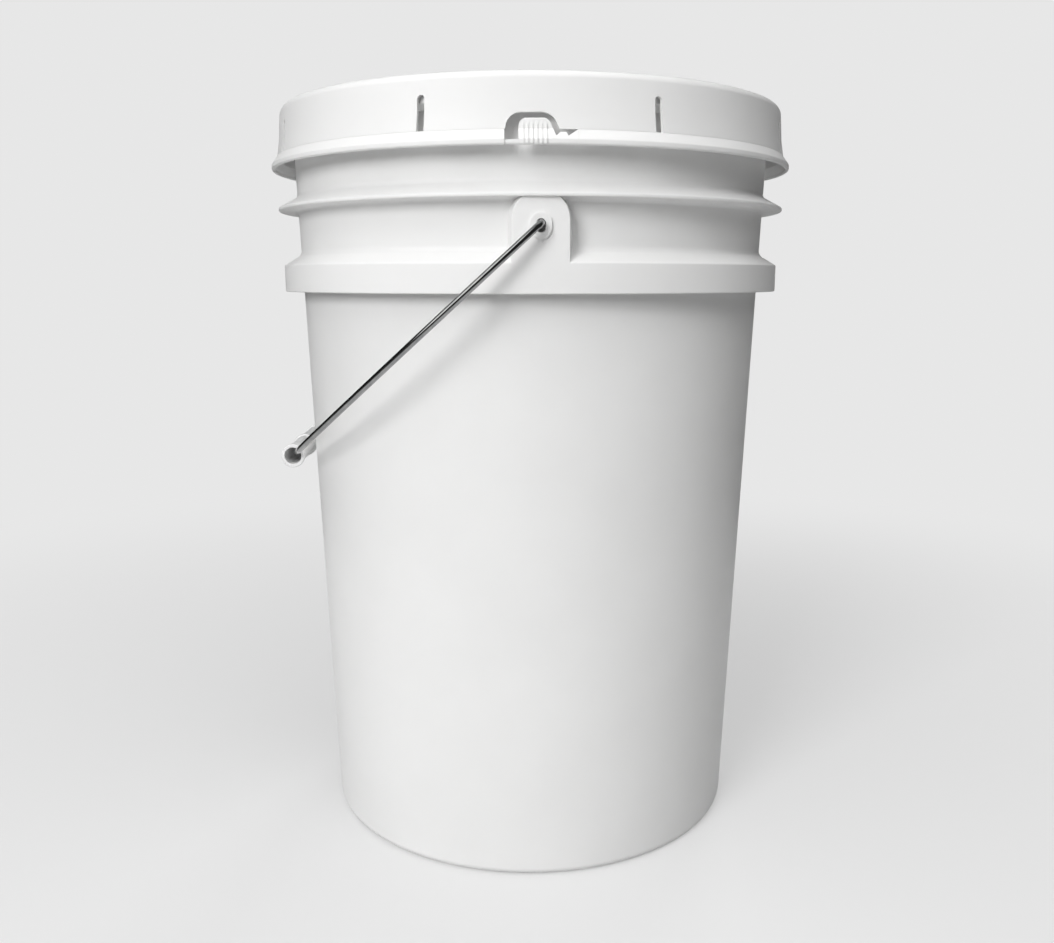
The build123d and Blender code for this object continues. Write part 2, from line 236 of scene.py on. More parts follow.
rim_r = wall_r(pail_h) + RIM_OUT
rim_low = pail_h - RIM_H
fin_z = pail_h - FIN_DROP
fin_r = wall_r(fin_z) + FIN_OUT
band_z = pail_h - BAND_DROP
band_low = band_z - BAND_H
band_r = wall_r(band_z) + BAND_OUT
shelf_top = band_z + SHELF_RISE
shelf_low = shelf_top - BAND_T
hem_r = band_r - BAND_T
hem_top = band_z - BAND_T
foot_r = BASE_R - BASE_CORNER - FOOT_W
floor_z = BASE_RECESS + FLOOR
ear_top = band_z + EAR_RISE
plate_r = band_r - EAR_PLATE
boss_y = band_r + BOSS_OUT
hole_r = WIRE_D / 2 + HOLE_GAP
slot_low = pivot_z - HOLE_DROP
step_z = lid_z - STEP_DROP
snap_z = lid_z - SNAP_DROP
hem_lid_r = lip_r - LIP_OUT
step_r = hem_lid_r - LOWER_DRAFT
skirt_r = step_r - UPPER_DRAFT
panel_z = lid_z - PANEL_DROP
panel_low = panel_z - PANEL_T
stack_r = foot_r - BASE_RECESS - STACK_GAP
tab_left = TAB_SHIFT - TAB_W / 2
tab_right = TAB_SHIFT + TAB_W / 2
tab_foot = tab_right + TAB_SLANT
far = 2 * lip_r       # beyond every front face


def skirt_in(z):
    """Inner radius of the lid's skirt."""
    if z > step_z:
        return skirt_r + UPPER_DRAFT * (lid_z - z) / STEP_DROP - SKIRT_T
    return step_r + LOWER_DRAFT * (step_z - z) / (step_z - skirt_low) - SKIRT_T


def edit(piece):
    """Opens one piece for editing by its vertices."""
    bpy.ops.object.select_all(action="DESELECT")
    bpy.context.view_layer.objects.active = piece
    piece.select_set(True)
    bpy.ops.object.mode_set(mode="EDIT")
    bpy.ops.mesh.select_mode(type="VERT")


def close(piece):
    """Merges what meets, points every face outward and leaves edit mode."""
    bpy.ops.mesh.select_mode(type="VERT")
    bpy.ops.mesh.select_all(action="SELECT")
    bpy.ops.mesh.remove_doubles(threshold=MERGE)
    bpy.ops.mesh.normals_make_consistent(inside=False)
    bpy.ops.object.mode_set(mode="OBJECT")
    return piece


def pick(piece, test):
    """Selects the vertices whose place in millimetres passes a test."""
    mesh = bmesh.from_edit_mesh(piece.data)
    for vert in mesh.verts:
        vert.select_set(False)
    for vert in mesh.verts:
        if test(vert.co / MM):
            vert.select_set(True)
    mesh.select_flush_mode()
    bmesh.update_edit_mesh(piece.data)


def pick_edges(piece, test):
    """Selects the edges whose two ends in millimetres and bend in degrees pass a test."""
    bpy.ops.mesh.select_mode(type="EDGE")
    bpy.ops.mesh.select_all(action="DESELECT")
    mesh = bmesh.from_edit_mesh(piece.data)
    for edge in mesh.edges:
        start, end = (vert.co / MM for vert in edge.verts)
        if edge.is_manifold and test(start, end, degrees(edge.calc_face_angle())):
            edge.select_set(True)
    mesh.select_flush_mode()
    bmesh.update_edit_mesh(piece.data)


def draw(name, corners, place, closed):
    """Line through (u, v, rounding) corners, each placed in millimetres, left open for editing."""
    spots = [Vector(place(u, v)) * MM for u, v, _ in corners]
    bpy.ops.object.select_all(action="DESELECT")
    bpy.ops.mesh.primitive_plane_add(size=MM, location=(0, 0, 0))
    piece = bpy.context.object
    piece.name = name
    bpy.ops.object.mode_set(mode="EDIT")
    bpy.ops.mesh.select_mode(type="VERT")
    bpy.ops.mesh.select_all(action="SELECT")
    bpy.ops.mesh.merge(type="CENTER")
    bpy.ops.transform.translate(value=spots[0])
    for here, ahead in zip(spots, spots[1:]):
        bpy.ops.mesh.extrude_vertices_move(TRANSFORM_OT_translate={"value": ahead - here})
    if closed:
        pick(piece, lambda spot: min((spot * MM - end).length for end in (spots[0], spots[-1])) < MERGE)
        bpy.ops.mesh.edge_face_add()
    for i, (_, _, radius) in enumerate(corners):
        if not radius:
            continue
        here = spots[i]
        half = (spots[i - 1] - here).angle(spots[(i + 1) % len(spots)] - here) / 2
        pick(piece, lambda spot: (spot * MM - here).length < MERGE)
        bpy.ops.mesh.bevel(
            offset_type="OFFSET",
            offset=radius * MM / tan(half),
            segments=max(2, ceil((180 - 2 * degrees(half)) / ARC_STEP)),
            profile=0.5,
            affect="VERTICES",
        )
    return piece


def lathe(name, section, closed, steps=TURN_STEPS):
    """Section of (r, z, rounding) corners spun round the axis."""
    piece = draw(name, section, lambda r, z: (r, 0, z), closed)
    bpy.ops.mesh.select_all(action="SELECT")
    bpy.ops.mesh.spin(steps=steps, angle=2 * pi, center=(0, 0, 0), axis=(0, 0, 1))
    return close(piece)


def facing_front(x, z, depth):
    """Place of an outline drawn from the front, at a distance off the axis."""
    return x, -depth, z


def on_edge(r, z, depth):
    """Place of an outline drawn along a radius, at a distance to its side."""
    return depth, -r, z


def prism(name, corners, near, beyond, place=facing_front):
    """Outline, filled and pulled from one depth to another."""
    piece = draw(name, corners, lambda u, v: place(u, v, near), True)
    bpy.ops.mesh.select_all(action="SELECT")
    bpy.ops.mesh.edge_face_add()
    pull = (Vector(place(0, 0, beyond)) - Vector(place(0, 0, near))) * MM
    bpy.ops.mesh.extrude_region_move(TRANSFORM_OT_translate={"value": pull})
    return close(piece)


def block(name, x0, x1, z0, z1, near):
    """Rectangular prism out through the front."""
    return prism(name, [(x0, z0, 0), (x1, z0, 0), (x1, z1, 0), (x0, z1, 0)], near, far)


def slot(name, radius, low, high, near, beyond):
    """Prism with round ends above and below."""
    round_end = radius * FULL_ROUND
    corners = [
        (-radius, low - radius, round_end),
        (radius, low - radius, round_end),
        (radius, high + radius, round_end),
        (-radius, high + radius, round_end),
    ]
    return prism(name, corners, near, beyond)


def apply_place(piece):
    """Moves a piece's place into its mesh."""
    bpy.ops.object.select_all(action="DESELECT")
    bpy.context.view_layer.objects.active = piece
    piece.select_set(True)
    bpy.ops.object.transform_apply(location=True, rotation=True, scale=True)
    return piece


def gather(pieces):
    """Joins pieces that don't meet into one mesh."""
    bpy.ops.object.select_all(action="DESELECT")
    for piece in pieces:
        piece.select_set(True)
    bpy.context.view_layer.objects.active = pieces[0]
    bpy.ops.object.join()
    return pieces[0]


def twin(piece):
    """Copy of a piece with its own mesh."""
    bpy.ops.object.select_all(action="DESELECT")
    bpy.context.view_layer.objects.active = piece
    piece.select_set(True)
    bpy.ops.object.duplicate()
    return bpy.context.object


def spread(piece, count, first):
    """Copies of a piece round the axis, the first one turned by an angle in degrees."""
    ring = [piece] + [twin(piece) for _ in range(count - 1)]
    for i, copy in enumerate(ring):
        copy.rotation_euler.z = radians(first + i * 360 / count)
        apply_place(copy)
    return gather(ring)


def combine(piece, tool, operation):
    """Adds a tool to a piece, cuts it away or keeps what they share, and removes the tool."""
    fit = piece.modifiers.new("fit", "BOOLEAN")
    fit.operation = operation
    fit.object = tool
    fit.solver = "EXACT"
    bpy.context.view_layer.objects.active = piece
    bpy.ops.object.modifier_apply(modifier=fit.name)
    bpy.data.objects.remove(tool)
    return piece


def round_edges(piece, width, test, segments=2):
    """Bevels the edges that pass a test."""
    edit(piece)
    pick_edges(piece, test)
    bpy.ops.mesh.bevel(
        offset=width * MM, segments=segments, profile=0.5, affect="EDGES", clamp_overlap=True
    )
    return close(piece)


def polish(piece):
    """Cleans a finished mesh and shades it smooth, large faces leading."""
    edit(piece)
    bpy.ops.mesh.select_all(action="SELECT")
    bpy.ops.mesh.dissolve_degenerate(threshold=CRUMB)
    close(piece)
    bpy.ops.object.shade_smooth_by_angle(angle=radians(SMOOTH))
    even = piece.modifiers.new("even", "WEIGHTED_NORMAL")
    even.keep_sharp = True
    bpy.ops.object.modifier_apply(modifier=even.name)
    return piece


def radius_of(spot):
    """Distance of a place from the pail's axis."""
    return hypot(spot.x, spot.y)


def make_ear():
    """One ear: drafted block with a rounded top, its face turned to the band's radius."""
    root = band_low + BAND_H / 2
    depth = band_r - inner_r(band_low)
    flare = depth * tan(radians(EAR_DRAFT))
    corners = [
        (-EAR_W / 2, root, 0),
        (EAR_W / 2, root, 0),
        (EAR_W / 2, ear_top + EAR_CREST, EAR_ROUND),
        (-EAR_W / 2, ear_top + EAR_CREST, EAR_ROUND),
    ]
    ear = prism("ear", corners, band_r + FLUSH, band_r - depth)
    edit(ear)
    pick(ear, lambda spot: spot.y > depth / 2 - band_r)
    rise = ear_top + EAR_CREST - root
    bpy.ops.transform.resize(
        value=(1 + 2 * flare / EAR_W, 1, 1 + flare / rise),
        center_override=(0, 0, root * MM),
    )
    close(ear)
    sheath = lathe("sheath", [
        (wall_r(band_low) - WALL / 2, root, 0),
        (band_r - EAR_RELIEF, root, 0),
        (band_r + FLUSH, band_z - BAND_T, 0),
        (band_r + FLUSH, ear_top, 0),
        (wall_r(ear_top) - WALL / 2, ear_top, 0),
    ], True)
    combine(ear, sheath, "INTERSECT")

    def round_face(a, b, bend):
        above = min(a.z, b.z) > root + EAR_ROOT
        outside = min(radius_of(a), radius_of(b)) > band_r - EAR_EDGE
        return bend > CREASE and above and outside

    return round_edges(ear, EAR_EDGE, round_face, segments=3)


def make_pocket():
    """Hollow behind an ear, open below."""
    half = EAR_W / 2 - EAR_SIDE
    top = ear_top - EAR_SIDE
    low = band_low + BAND_H / 4
    corners = [
        (-half, low, 0),
        (half, low, 0),
        (half, top, EAR_ROUND - EAR_SIDE),
        (-half, top, EAR_ROUND - EAR_SIDE),
    ]
    pocket = prism("pocket", corners, 0, far)
    sheath = lathe("sheath", [
        (wall_r(low) - EAR_RELIEF, low, 0),
        (plate_r, low, 0),
        (plate_r, top, 0),
        (wall_r(top) - EAR_RELIEF, top, 0),
    ], True)
    return combine(pocket, sheath, "INTERSECT")


def make_band_rib():
    """Rib that ties the band's skirt to the wall."""
    low = band_low + BAND_RIB_LIFT
    corners = [
        (wall_r(band_low) - WALL / 2, low, 0),
        (hem_r + BAND_T / 2, low, 0),
        (hem_r + BAND_T / 2, hem_top + BAND_T / 2, 0),
        (wall_r(shelf_low) - WALL / 2, shelf_low + BAND_T / 2, 0),
    ]
    return prism("band_rib", corners, -BAND_RIB_T / 2, BAND_RIB_T / 2, on_edge)


def make_pail():
    """Pail body: floor, wall, band, fin and rim from one section, with two hollow ears."""
    pail = lathe("pail_shell", [
        (0, BASE_RECESS + GATE_DEEP, 0),
        (GATE_R, BASE_RECESS + GATE_DEEP, 0),
        (GATE_R, BASE_RECESS, FINE / 2),
        (foot_r - BASE_RECESS, BASE_RECESS, CORNER),
        (foot_r, 0, FINE),
        (BASE_R, 0, BASE_CORNER),
        (wall_r(shelf_low), shelf_low, FINE),
        (hem_r, hem_top, FINE),
        (hem_r, band_low, FINE),
        (band_r, band_low, FINE),
        (band_r, band_z, SOFT),
        (wall_r(shelf_top), shelf_top, SHELF_ROOT),
        (wall_r(fin_z) - slope * FIN_UNDER, fin_z - FIN_EDGE / 2 - FIN_UNDER, CORNER),
        (fin_r, fin_z - FIN_EDGE / 2, FIN_TIP),
        (fin_r, fin_z + FIN_EDGE / 2, FIN_TIP),
        (wall_r(fin_z + FIN_RISE), fin_z + FIN_RISE, FIN_ROOT),
        (wall_r(rim_low - RIM_SLOPE), rim_low - RIM_SLOPE, SOFT),
        (rim_r, rim_low, SOFT),
        (rim_r, pail_h, SOFT),
        (inner_r(pail_h), pail_h, SOFT),
        (inner_r(floor_z), floor_z, FLOOR_CORNER),
        (0, floor_z, 0),
    ], False)
    combine(pail, spread(make_ear(), 2, 0), "UNION")
    combine(pail, spread(make_pocket(), 2, 0), "DIFFERENCE")
    combine(pail, spread(make_band_rib(), BAND_RIBS, 180 / BAND_RIBS), "UNION")
    boss = slot("boss", hole_r + BOSS_RIM, slot_low, pivot_z, plate_r + EAR_PLATE / 2, boss_y)
    round_edges(
        boss, BOSS_EDGE,
        lambda a, b, bend: bend > SHARP and max(a.y, b.y) < FLUSH - boss_y,
        segments=3,
    )
    combine(pail, spread(boss, 2, 0), "UNION")
    hole = slot("hole", hole_r, slot_low, pivot_z, wall_r(pivot_z) + WALL, far)
    combine(pail, spread(hole, 2, 0), "DIFFERENCE")

    def round_mouth(a, b, bend):
        front = min(abs(a.y), abs(b.y)) > boss_y - FLUSH
        inside = max(abs(a.x), abs(b.x)) < hole_r + FLUSH
        return bend > SHARP and front and inside

    return polish(round_edges(pail, BREAK, round_mouth))


def make_lid_rib():
    """Gusset in the corner of the lid's recess."""
    root = plug_r(panel_z) - PLUG_T
    corners = [
        (root + PLUG_T / 2, panel_z - PANEL_T / 2, 0),
        (root - LID_RIB_W, panel_z - PANEL_T / 2, 0),
        (root - LID_RIB_W, panel_z + STACK_H, SOFT),
        (root + PLUG_T / 2, lid_z - LID_RIB_DROP, 0),
    ]
    rib = prism("lid_rib", corners, -LID_RIB_T / 2, LID_RIB_T / 2, on_edge)
    return round_edges(rib, BREAK, lambda a, b, bend: bend > SHARP and min(a.z, b.z) > panel_z)


def make_window():
    """Opening in the skirt round the pull tab."""
    steep = TAB_SLANT / (tab_top - skirt_low + TEAR_DEEP)
    top = tab_top + WINDOW_TOP
    return prism("window", [
        (cut_x, lip_low, 0),
        (tab_right + WINDOW_RIGHT + steep * (tab_top - lip_low), lip_low, 0),
        (tab_right + WINDOW_RIGHT - steep * WINDOW_TOP, top, WINDOW_ROUND),
        (cut_x, top, WINDOW_ROUND),
    ], rim_r - RIM_GAP, far)


def make_slit():
    """Slit that lets the skirt spread over the rim."""
    top = skirt_low + SLIT_H
    return prism("slit", [
        (-SLIT_W / 2, lip_low, 0),
        (SLIT_W / 2, lip_low, 0),
        (SLIT_W / 2, top, SLIT_W / 2 * SLIT_ROUND),
        (-SLIT_W / 2, top, SLIT_W / 2 * SLIT_ROUND),
    ], rim_r - RIM_GAP, far)


def make_snap_breaks():
    """Gaps that leave the snap bead in lugs between the slits."""
    low = snap_z - SNAP_H / 2
    high = snap_z + SNAP_H / 2
    ring = lathe("snap_break", [
        (skirt_in(low) + FLUSH, low, 0),
        (skirt_in(high) + FLUSH, high, 0),
        (rim_r, high, 0),
        (rim_r, low, 0),
    ], True)
    gap = block("gap", -SNAP_BREAK / 2, SNAP_BREAK / 2, low - FINE, high + FINE, rim_r - RIM_GAP)
    return combine(ring, spread(gap, SLITS, 180 / SLITS), "INTERSECT")


def make_lid():
    """Lid: channel over the rim, plug inside the wall, recessed panel with a stacking rib."""
    lid = lathe("lid_cover", [
        (0, panel_low, 0),
        (plug_r(panel_low), panel_low, CORNER),
        (plug_r(channel_z), channel_z, FINE),
        (skirt_in(channel_z), channel_z, FINE),
        (skirt_in(snap_z + SNAP_H / 2), snap_z + SNAP_H / 2, 0),
        (rim_r + SNAP_GAP, snap_z, FINE),
        (skirt_in(snap_z - SNAP_H / 2), snap_z - SNAP_H / 2, 0),
        (skirt_in(skirt_low), skirt_low, 0),
        (hem_lid_r, skirt_low, 0),
        (step_r, step_z, 0),
        (skirt_r, lid_z, LID_CORNER),
        (plug_r(lid_z) - PLUG_T, lid_z, CORNER),
        (plug_r(panel_z) - PLUG_T, panel_z, CORNER),
        (stack_r, panel_z, FINE),
        (stack_r, panel_z + STACK_H, FINE),
        (stack_r - STACK_W, panel_z + STACK_H, FINE),
        (stack_r - STACK_W, panel_z, FINE),
        (0, panel_z, 0),
    ], False)
    combine(lid, spread(make_lid_rib(), LID_RIBS, 0), "UNION")
    combine(lid, make_snap_breaks(), "DIFFERENCE")
    combine(lid, gather([spread(make_slit(), SLITS, 180 / SLITS), make_window()]), "DIFFERENCE")
    return polish(lid)


def make_hoop():
    """Flared hoop that the strip and its tab are cut from."""
    return lathe("tear_strip_hoop", [
        (skirt_in(skirt_low), skirt_low, 0),
        (hem_lid_r - TEAR_GROOVE, skirt_low, 0),
        (lip_r, lip_low + LIP_EDGE, SOFT),
        (lip_r, lip_low, SOFT),
        (lip_r - STRIP_T, lip_low, FINE),
        (lip_r - STRIP_T, lip_low + LIP_INNER, FINE),
        (skirt_in(skirt_low), skirt_low - STRIP_NECK, FINE),
    ], True)


def make_strip():
    """Tear strip: the hoop without the stretch that starts it."""
    strip = make_hoop()
    low = lip_low - LIP_EDGE
    start = block("start", cut_x - CUT_GAP, seam_x, low, skirt_low + LIP_EDGE, rim_r - RIM_GAP)
    return polish(combine(strip, start, "DIFFERENCE"))


def tab_ring(out):
    """Strip with the tab's upright plate on it, all the way round, its face moved outward."""
    flare_r = hem_lid_r - TEAR_GROOVE + out
    plate_in = skirt_in(skirt_low)
    return lathe("tear_tab_pull", [
        (plate_in - TAB_LEAN, tab_top, FINE),
        (flare_r - TAB_LEAN, tab_top, FINE),
        (flare_r, skirt_low, FINE),
        (lip_r + out, lip_low + LIP_EDGE, SOFT),
        (lip_r + out, lip_low, SOFT),
        (lip_r - STRIP_T, lip_low, FINE),
        (lip_r - STRIP_T, lip_low + LIP_INNER, FINE),
        (plate_in, skirt_low - STRIP_NECK, FINE),
    ], True)


def make_tab():
    """Pull tab: start of the strip, upright plate and finger ribs."""
    near = rim_r - RIM_GAP
    notch = skirt_low - TEAR_DEEP
    below = lip_low - LIP_EDGE
    tab = combine(tab_ring(0), prism("plate", [
        (cut_x, below, 0),
        (seam_x - SEAM_LINE, below, 0),
        (seam_x - SEAM_LINE, skirt_low - SEAM_LINE, 0),
        (tab_foot + TOOTH_END, notch, FINE / 2),
        (tab_foot + TOOTH_TIP, skirt_low - TOOTH_DROP, FINE / 2),
        (tab_foot + TOOTH_ROOT, skirt_low - TOOTH_DROP, FINE / 2),
        (tab_foot, notch, FINE / 2),
        (tab_right, tab_top, TAB_ROUND),
        (tab_left, tab_top, TAB_ROUND),
        (tab_left, lip_low + BRIDGE_H, FINE / 2),
        (cut_x, lip_low + BRIDGE_H, FINE / 2),
    ], near, far), "INTERSECT")
    first = TAB_SHIFT + TAB_RIB_SHIFT - (TAB_RIBS - 1) / 2 * TAB_RIB_PITCH
    ribs = gather([
        block("rib", x - TAB_RIB_W / 2, x + TAB_RIB_W / 2, below, tab_top - TAB_RIB_END, near)
        for x in [first + i * TAB_RIB_PITCH for i in range(TAB_RIBS)]
    ])
    combine(tab, combine(ribs, tab_ring(TAB_RIB_OUT), "INTERSECT"), "UNION")
    return polish(tab)


def make_gasket():
    """Gasket, flat on the channel's ceiling and rounded toward the rim."""
    inside = plug_r(channel_z) + GASKET_SIDE
    outside = skirt_in(channel_z) - GASKET_SIDE
    soft = (channel_z - gasket_low) * GASKET_ROUND
    return polish(lathe("gasket_ring", [
        (inside, gasket_low, soft),
        (outside, gasket_low, soft),
        (outside, channel_z, 0),
        (inside, channel_z, 0),
    ], True))


# Bail: its plane has u outward from the bail axis and v along the axis
bow_r = lip_r + BAIL_CLEAR + WIRE_D / 2
bow_u = BAIL_REACH - bow_r
tilt = asin((bow_u - BAIL_BEND) / (bow_r - BAIL_BEND))
bend_v = (bow_r - BAIL_BEND) * cos(tilt)
hook_v = plate_r - HOOK_GAP - WIRE_D / 2
hook_heart = hook_v + HOOK_BEND
grip_u = hypot(grip_spot.x / MM, grip_spot.z / MM - pivot_z)
hang = asin((pivot_z - grip_spot.z / MM) / grip_u)


def make_bail():
    """Wire bail: hook, stub through the ear, bend, bow, and the same back."""
    bpy.ops.object.select_all(action="DESELECT")
    bpy.ops.mesh.primitive_circle_add(
        vertices=WIRE_SIDES,
        radius=WIRE_D / 2 * MM,
        location=(-HOOK_L * MM, hook_v * MM, 0),
        rotation=(0, radians(90), 0),
    )
    bail = bpy.context.object
    bail.name = "bail_rod"
    apply_place(bail)
    edit(bail)
    bpy.ops.mesh.select_all(action="SELECT")

    def run(u, v):
        bpy.ops.mesh.extrude_region_move(TRANSFORM_OT_translate={"value": (u * MM, v * MM, 0)})

    def bend(u, v, turn, steps):
        bpy.ops.mesh.spin(
            steps=steps, angle=radians(turn), center=(u * MM, v * MM, 0), axis=(0, 0, -1)
        )

    stub = bend_v - hook_heart
    turn = 90 - degrees(tilt)
    run(HOOK_L - HOOK_BEND, 0)
    bend(-HOOK_BEND, hook_heart, 90, BEND_STEPS)
    run(0, stub)
    bend(BAIL_BEND, bend_v, -turn, BEND_STEPS)
    bend(bow_u, 0, -180 - 2 * degrees(tilt), BOW_STEPS)
    bend(BAIL_BEND, -bend_v, -turn, BEND_STEPS)
    run(0, stub)
    bend(-HOOK_BEND, -hook_heart, 90, BEND_STEPS)
    run(HOOK_BEND - HOOK_L, 0)
    for side in (1, -1):
        pick(bail, lambda spot: spot.x < -HOOK_L + FLUSH and spot.y * side > 0)
        bpy.ops.mesh.edge_face_add()
    close(bail)
    round_edges(bail, WIRE_END, lambda a, b, bend: bend > SHARP, segments=3)
    bail.location.z = pivot_z * MM
    bail.rotation_euler = (0, hang, pi)
    apply_place(bail)
    return polish(bail)


def make_grip():
    """Grip: a tube with a collar at each end and one in the middle."""
    bore = GRIP_BORE / 2
    tube = GRIP_D / 2
    collar = COLLAR_D / 2
    grip = lathe("grip_tube", [
        (bore, -grip_half, FINE / 2),
        (collar, -grip_half, FINE),
        (collar, -grip_half + COLLAR_W, FINE),
        (tube, -grip_half + COLLAR_W + COLLAR_RAMP, FINE),
        (tube, -COLLAR_W / 2 - COLLAR_RAMP, FINE),
        (collar, -COLLAR_W / 2, FINE),
        (collar, COLLAR_W / 2, FINE),
        (tube, COLLAR_W / 2 + COLLAR_RAMP, FINE),
        (tube, grip_half - COLLAR_W - COLLAR_RAMP, FINE),
        (collar, grip_half - COLLAR_W, FINE),
        (collar, grip_half, FINE),
        (bore, grip_half, FINE / 2),
    ], True, GRIP_STEPS)
    grip.location = grip_spot
    grip.rotation_euler.x = radians(90)
    return polish(apply_place(grip))


# Finishes: noise scales per metre, ranges of roughness, bumps as strength and millimetres
NOISE_LOW = 0.3       # noise mostly lies between these
NOISE_HIGH = 0.7
PAIL_TONE = (0.86, 0.86, 0.855)
# lid: the pail's polythene made a little darker, painted shade for the extra lamp light its skirt
# catches
LID_SHADED_TONE = (0.84, 0.84, 0.835)
GRIP_TONE = (0.88, 0.88, 0.88)
CLOUDS = 16
CLOUD_SHADE = 0.965
PATCHES = 60
SATIN = (0.36, 0.46)
PEEL = 900
PEEL_BUMP = (0.12, 0.05)
LINE_BUMP = (0.15, 0.06)
PAIL_LINES = (160, 160, 4)
LID_LINES = (120, 120, 120)
GRIP_LINES = (500, 20, 500)
SKIN_GLOW = 0.1       # share of light that creeps under the skin
GRIP_GLOW = 0.5
CREEP = (0.003, 0.003, 0.003)   # metres
ZINC_DARK = (0.28, 0.285, 0.29)
ZINC_LIGHT = (0.38, 0.38, 0.375)
BRIGHT = (0.06, 0.13)
STREAKS = (14, 2600, 2600)
STREAK_BUMP = (0.2, 0.05)
BLOTCHES = 220
FOAM_DARK = (0.50, 0.50, 0.48)
FOAM_LIGHT = (0.64, 0.64, 0.62)
MATT = (0.75, 0.95)
CELLS = 1400
CELL_BUMP = (0.5, 0.2)


def add(tree, kind, inputs=(), **settings):
    """Shader node with its settings, its inputs set to values or linked to outputs."""
    made = tree.nodes.new(kind)
    for name, value in settings.items():
        setattr(made, name, value)
    for socket, value in dict(inputs).items():
        if isinstance(value, bpy.types.NodeSocket):
            tree.links.new(value, made.inputs[socket])
        else:
            made.inputs[socket].default_value = value
    return made


def finish(name, constants):
    """New material: its node tree, its shader and the object coordinates."""
    material = bpy.data.materials.new(name)
    material.use_nodes = True
    tree = material.node_tree
    shader = tree.nodes["Principled BSDF"]
    for socket, value in constants.items():
        shader.inputs[socket].default_value = value
    return material, tree, shader, add(tree, "ShaderNodeTexCoord").outputs["Object"]


def noise(tree, vector, scale, detail=2.0):
    """Noise output, about 0.5 on average."""
    made = add(tree, "ShaderNodeTexNoise", {"Vector": vector, "Scale": scale, "Detail": detail})
    return made.outputs["Fac"]


def stretch(tree, vector, scale):
    """Coordinates scaled along each axis."""
    return add(tree, "ShaderNodeMapping", {"Vector": vector, "Scale": scale}).outputs["Vector"]


def ranged(tree, value, low=0, high=1):
    """Noise brought into a range."""
    return add(tree, "ShaderNodeMapRange", {
        "Value": value,
        "From Min": NOISE_LOW,
        "From Max": NOISE_HIGH,
        "To Min": low,
        "To Max": high,
    }).outputs["Result"]


def tinted(tree, value, dark, light):
    """Colour between two tones."""
    made = add(tree, "ShaderNodeMix", {"Factor": value}, data_type="RGBA")
    made.inputs["A"].default_value = (*dark, 1)
    made.inputs["B"].default_value = (*light, 1)
    return made.outputs["Result"]


def bumped(tree, height, bump, below=None):
    """Bump of a strength and a depth, over another bump."""
    strength, depth = bump
    inputs = {"Height": height, "Strength": strength, "Distance": depth * MM}
    if below:
        inputs["Normal"] = below
    return add(tree, "ShaderNodeBump", inputs).outputs["Normal"]


def polythene(name, light, grain, glow=SKIN_GLOW):
    """White moulded polythene: faint clouds of tone, drawn lines along the mould, fine peel."""
    material, tree, shader, place = finish(name, {
        "IOR": 1.53,
        "Subsurface Weight": glow,
        "Subsurface Radius": CREEP,
        "Subsurface Scale": 1.0,
    })
    clouds = noise(tree, place, CLOUDS, 3)
    patches = noise(tree, place, PATCHES, 4)
    lines = noise(tree, stretch(tree, place, grain), 1)
    peel = noise(tree, place, PEEL)
    dark = tuple(tone * CLOUD_SHADE for tone in light)
    normal = bumped(tree, peel, PEEL_BUMP, bumped(tree, lines, LINE_BUMP))
    links = tree.links
    links.new(tinted(tree, ranged(tree, clouds), dark, light), shader.inputs["Base Color"])
    links.new(ranged(tree, patches, *SATIN), shader.inputs["Roughness"])
    links.new(normal, shader.inputs["Normal"])
    return material


def zinc():
    """Zinc-plated drawn wire, streaked along its length."""
    material, tree, shader, place = finish("zinc_wire", {"Metallic": 1.0})
    flat = add(tree, "ShaderNodeMapping", {"Vector": place}, vector_type="TEXTURE")
    flat.inputs["Location"].default_value = (
        -bow_u * cos(hang) * MM, 0, (pivot_z - bow_u * sin(hang)) * MM
    )
    flat.inputs["Rotation"].default_value = (0, hang, pi)
    parts = add(tree, "ShaderNodeSeparateXYZ", {"Vector": flat.outputs["Vector"]}).outputs
    around = add(tree, "ShaderNodeMath", {0: parts["Y"], 1: parts["X"]}, operation="ARCTAN2")
    ring = add(tree, "ShaderNodeCombineXYZ", {"X": parts["X"], "Y": parts["Y"]})
    reach = add(tree, "ShaderNodeVectorMath", {0: ring.outputs["Vector"]}, operation="LENGTH")
    along = add(tree, "ShaderNodeCombineXYZ", {
        "X": around.outputs["Value"], "Y": reach.outputs["Value"], "Z": parts["Z"]
    }).outputs["Vector"]
    streaks = noise(tree, stretch(tree, along, STREAKS), 1, 4)
    blotches = ranged(tree, noise(tree, place, BLOTCHES, 3))
    links = tree.links
    links.new(tinted(tree, blotches, ZINC_DARK, ZINC_LIGHT), shader.inputs["Base Color"])
    links.new(ranged(tree, streaks, *BRIGHT), shader.inputs["Roughness"])
    links.new(bumped(tree, streaks, STREAK_BUMP), shader.inputs["Normal"])
    return material


def foam():
    """Pale grey foamed rubber."""
    material, tree, shader, place = finish("foam_rubber", {"IOR": 1.45})
    cells = noise(tree, place, CELLS)
    links = tree.links
    links.new(tinted(tree, ranged(tree, cells), FOAM_DARK, FOAM_LIGHT), shader.inputs["Base Color"])
    links.new(ranged(tree, cells, *MATT), shader.inputs["Roughness"])
    links.new(bumped(tree, cells, CELL_BUMP), shader.inputs["Normal"])
    return material


def dress(piece, material, body, node):
    """Gives a finished piece its material and its body, and hides the CAD node it stands for."""
    piece.data.materials.clear()
    piece.data.materials.append(material)
    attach(piece, body)
    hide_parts(node)


pail_white = polythene("pail_polythene", PAIL_TONE, PAIL_LINES)
# lid's polythene uses the darker tone, painted shade for the extra light on the lid
lid_white = polythene("lid_polythene", LID_SHADED_TONE, LID_LINES)
grip_white = polythene("grip_polythene", GRIP_TONE, GRIP_LINES, GRIP_GLOW)
dress(make_pail(), pail_white, "pail", "pail_body")
dress(make_lid(), lid_white, "lid", "lid")
dress(make_strip(), lid_white, "lid", "tear_strip")
dress(make_tab(), lid_white, "tab", "tear_tab")
dress(make_gasket(), foam(), "lid", "gasket")
dress(make_bail(), zinc(), "bail", "bail_wire")
dress(make_grip(), grip_white, "grip", "handle_grip")

